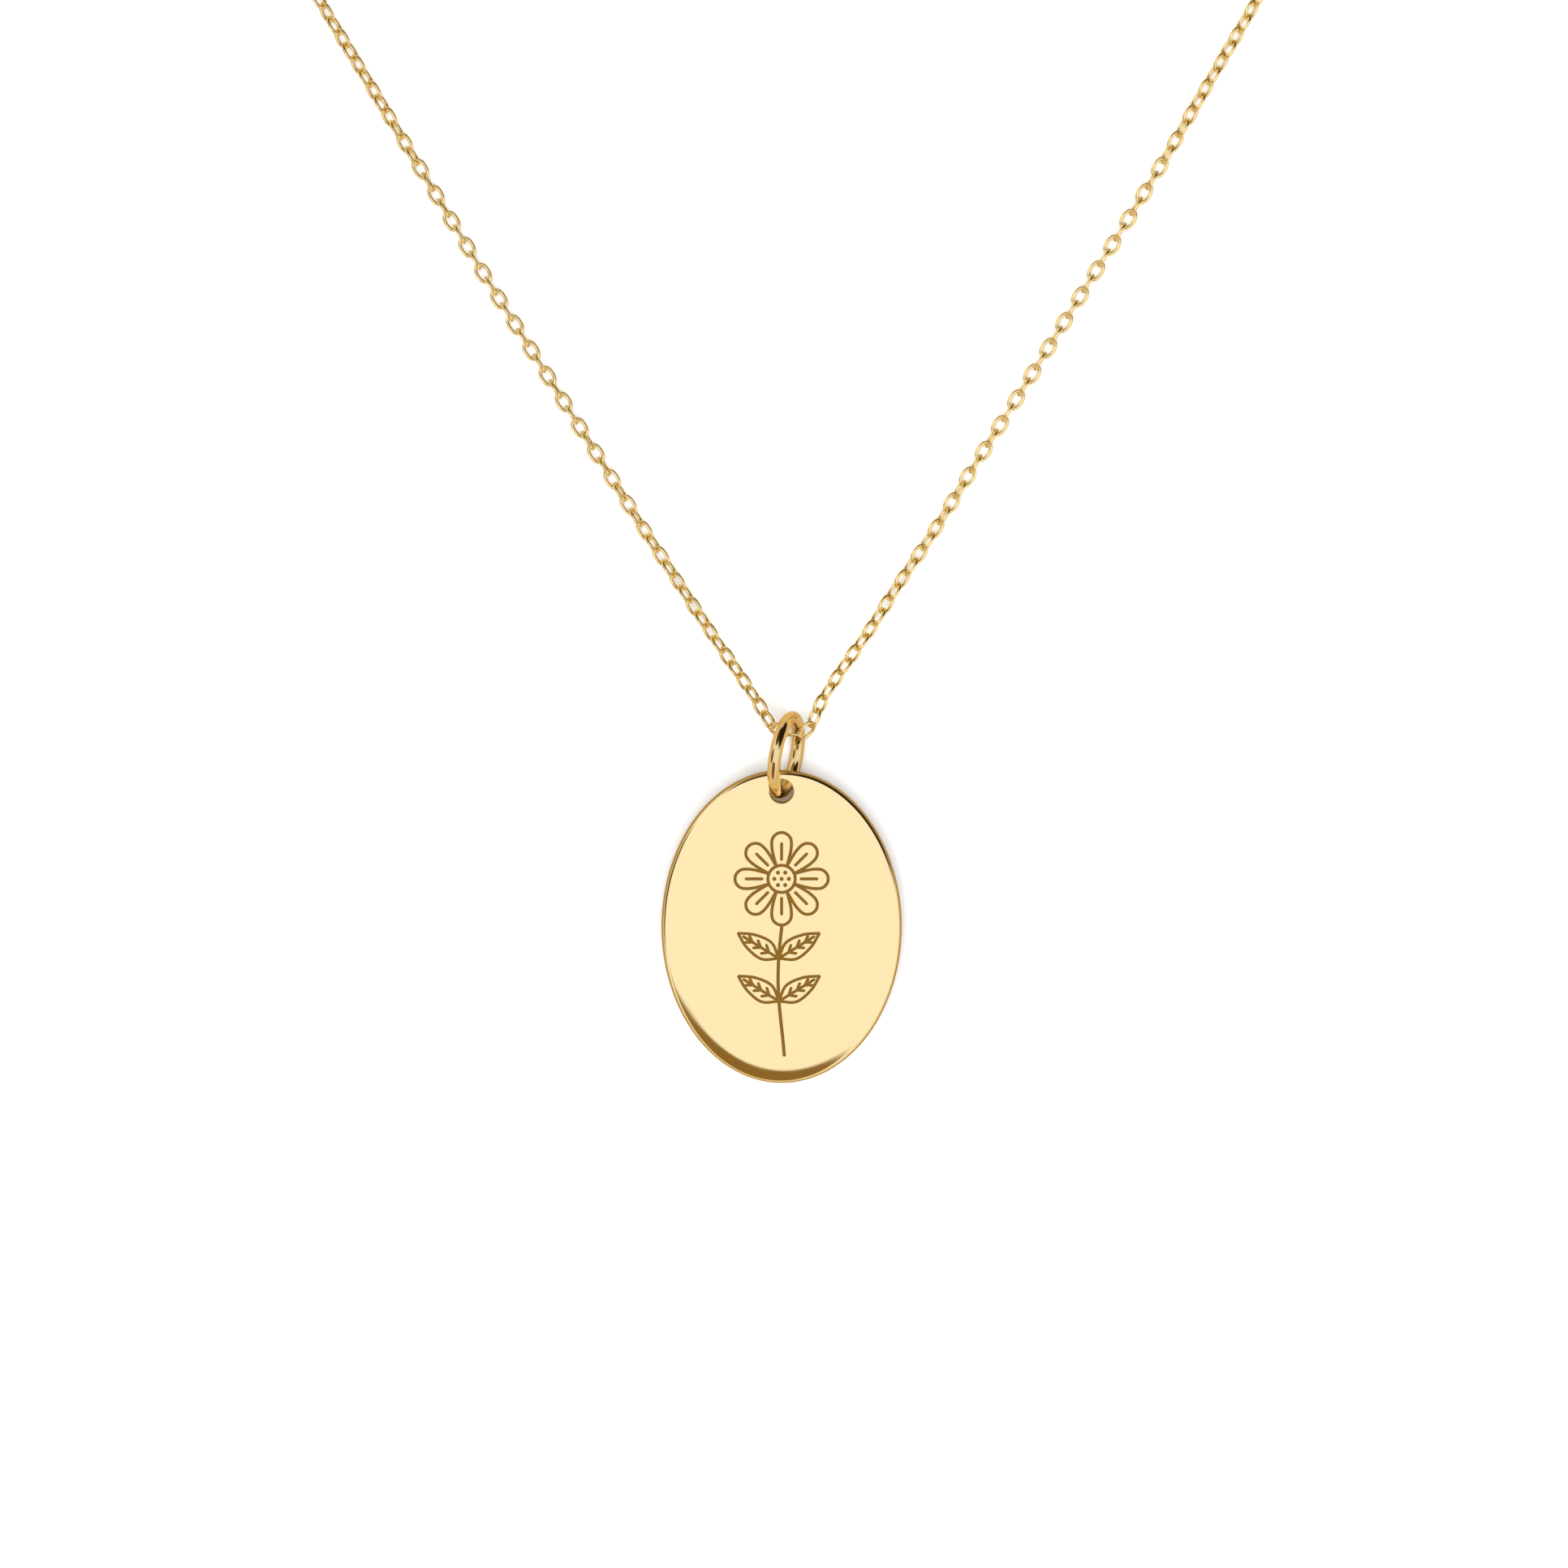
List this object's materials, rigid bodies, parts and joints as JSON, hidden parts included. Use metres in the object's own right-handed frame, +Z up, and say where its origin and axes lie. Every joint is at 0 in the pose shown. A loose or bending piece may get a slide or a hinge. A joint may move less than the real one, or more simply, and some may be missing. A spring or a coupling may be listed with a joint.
{
  "type": "pendant necklace",
  "caption": "Oval engraved disc pendant hung by a jump ring on a fine cable chain with a spring-ring clasp, laid flat with the spare chain coiled.",
  "frame": {"origin": "on the surface that the necklace lies on, under the middle of the disc and its jump ring", "axes": "+Y runs up the pendant from the disc to its chain, +X is to the disc's right, +Z is up from the surface"},
  "size_m": [0.0634, 0.1041, 0.0053],
  "materials": {
    "disc": "polished gold tone with darker engraved lines",
    "ring": "polished gold tone",
    "chain": "polished gold tone",
    "clasp": "polished gold tone",
    "spring": "drawn spring wire"
  },
  "bodies": {
    "chain": {"centre_link": "chain", "chain_left": "chain", "chain_right": "chain", "chain_coil": "chain", "end_ring": "clasp", "clasp_link": "clasp", "clasp_eye": "clasp", "clasp_case": "clasp", "clasp_spring": "spring", "spring_stop": "clasp"},
    "ring": {"jump_ring": "ring"},
    "pendant": {"pendant_disc": "disc"},
    "bolt": {"clasp_bolt": "clasp", "thumb_tab": "clasp"}
  },
  "joints": [
    {"name": "ring_swing", "type": "hinge", "parent": "chain", "child": "ring", "pos_m": [0.00065, 0.01018, 0.0022], "axis": [-1, 0, 0], "range_deg": [0, 90]},
    {"name": "disc_swing", "type": "hinge", "parent": "ring", "child": "pendant", "pos_m": [0.00028, 0.00891, 0.00266], "axis": [-0.9452, 0.1752, -0.2756], "range_deg": [0, 80]},
    {"name": "bolt_slide", "type": "hinge", "parent": "chain", "child": "bolt", "pos_m": [0.00075, 0.08027, 0.001], "axis": [0, 0, 1], "range_deg": [0, 60], "stiffness_Nm_per_rad": 0.0008, "springref_deg": -20.05, "deforming": ["clasp_spring"]}
  ]
}
